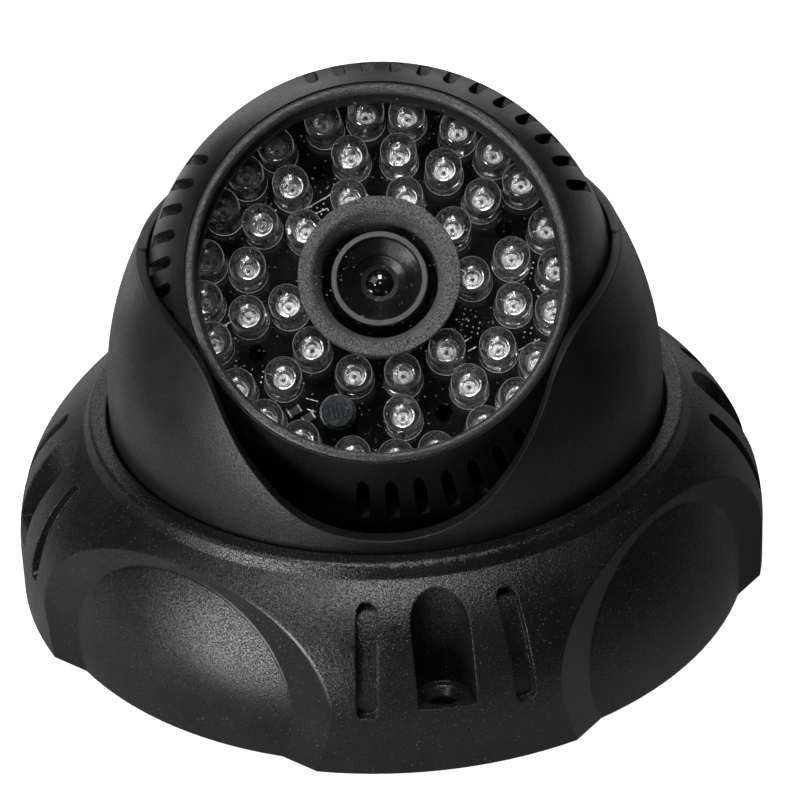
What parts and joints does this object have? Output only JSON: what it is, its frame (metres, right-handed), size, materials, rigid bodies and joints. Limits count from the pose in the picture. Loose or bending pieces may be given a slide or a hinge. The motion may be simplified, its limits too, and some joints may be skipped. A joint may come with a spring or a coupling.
{
  "type": "dome cctv camera",
  "caption": "Turret dome security camera: eyeball with infrared lamps and lens behind a round window, tilting in a panning turret on a round surface-mount base.",
  "frame": {"origin": "centre of the base's mounting face", "axes": "+Z away from the ceiling or wall it is fixed to, the camera looks towards -Y and +Z at rest, +X is the tilt axis"},
  "size_m": [0.108, 0.108, 0.0754],
  "materials": {
    "base_black": "fine-grained satin",
    "shell_black": "satin",
    "ball_black": "smooth satin",
    "bezel_black": "coarse grain",
    "plate_black": "matte",
    "rubber_black": "matte",
    "foam_black": "coarse cellular",
    "cable_black": "satin",
    "screw_steel": "plain",
    "window_clear": "polished",
    "lens_clear": "coated",
    "lamp_clear": "water-clear resin",
    "lead_frame": "silvered",
    "sensor_cell": "resin over a printed track",
    "chip_black": "matte",
    "board_black": "solder mask",
    "board_green": "solder mask",
    "pillar_brass": "plain",
    "lens_black": "black anodised"
  },
  "bodies": {
    "base": {"base_cover": "base_black", "base_plate": "plate_black", "plate_screws": "screw_steel", "turret_support_ring": "plate_black", "pan_friction_ring": "rubber_black"},
    "turret": {"turret_shell": "shell_black"},
    "ball": {"ball_front_ring": "ball_black", "window_bezel": "bezel_black", "window_seal": "rubber_black", "window_glass": "window_clear", "ball_rear_shell": "ball_black", "ball_screws": "screw_steel", "pivot_pins": "screw_steel", "led_board": "board_black", "led_domes": "lamp_clear", "led_frames": "lead_frame", "light_sensor_sleeve": "rubber_black", "light_sensor_cell": "sensor_cell", "led_board_chips": "chip_black", "board_carrier": "plate_black", "board_pillars": "pillar_brass", "sensor_board": "board_green", "sensor_standoffs": "pillar_brass", "image_sensor": "chip_black", "sensor_board_chips": "chip_black", "lens_holder": "plate_black", "lens_shield": "foam_black", "tail_grommet": "rubber_black", "tail_cable": "cable_black"},
    "lens": {"lens_front_glass": "lens_clear", "lens_rear_glass": "lens_clear", "lens_barrel": "lens_black", "lens_lock_ring": "lens_black"}
  },
  "joints": [
    {"name": "pan", "type": "hinge", "parent": "base", "child": "turret", "pos_m": [0, 0, 0.02], "axis": [0, 0, 1], "range_deg": [-175, 175]},
    {"name": "tilt", "type": "hinge", "parent": "turret", "child": "ball", "pos_m": [0, 0, 0.042], "axis": [1, 0, 0], "range_deg": [-47.8, 27.2]},
    {"name": "focus", "type": "hinge", "parent": "ball", "child": "lens", "pos_m": [0, 0, 0.042], "axis": [0, -0.7408, 0.6717], "range_deg": [-180, 180]}
  ]
}
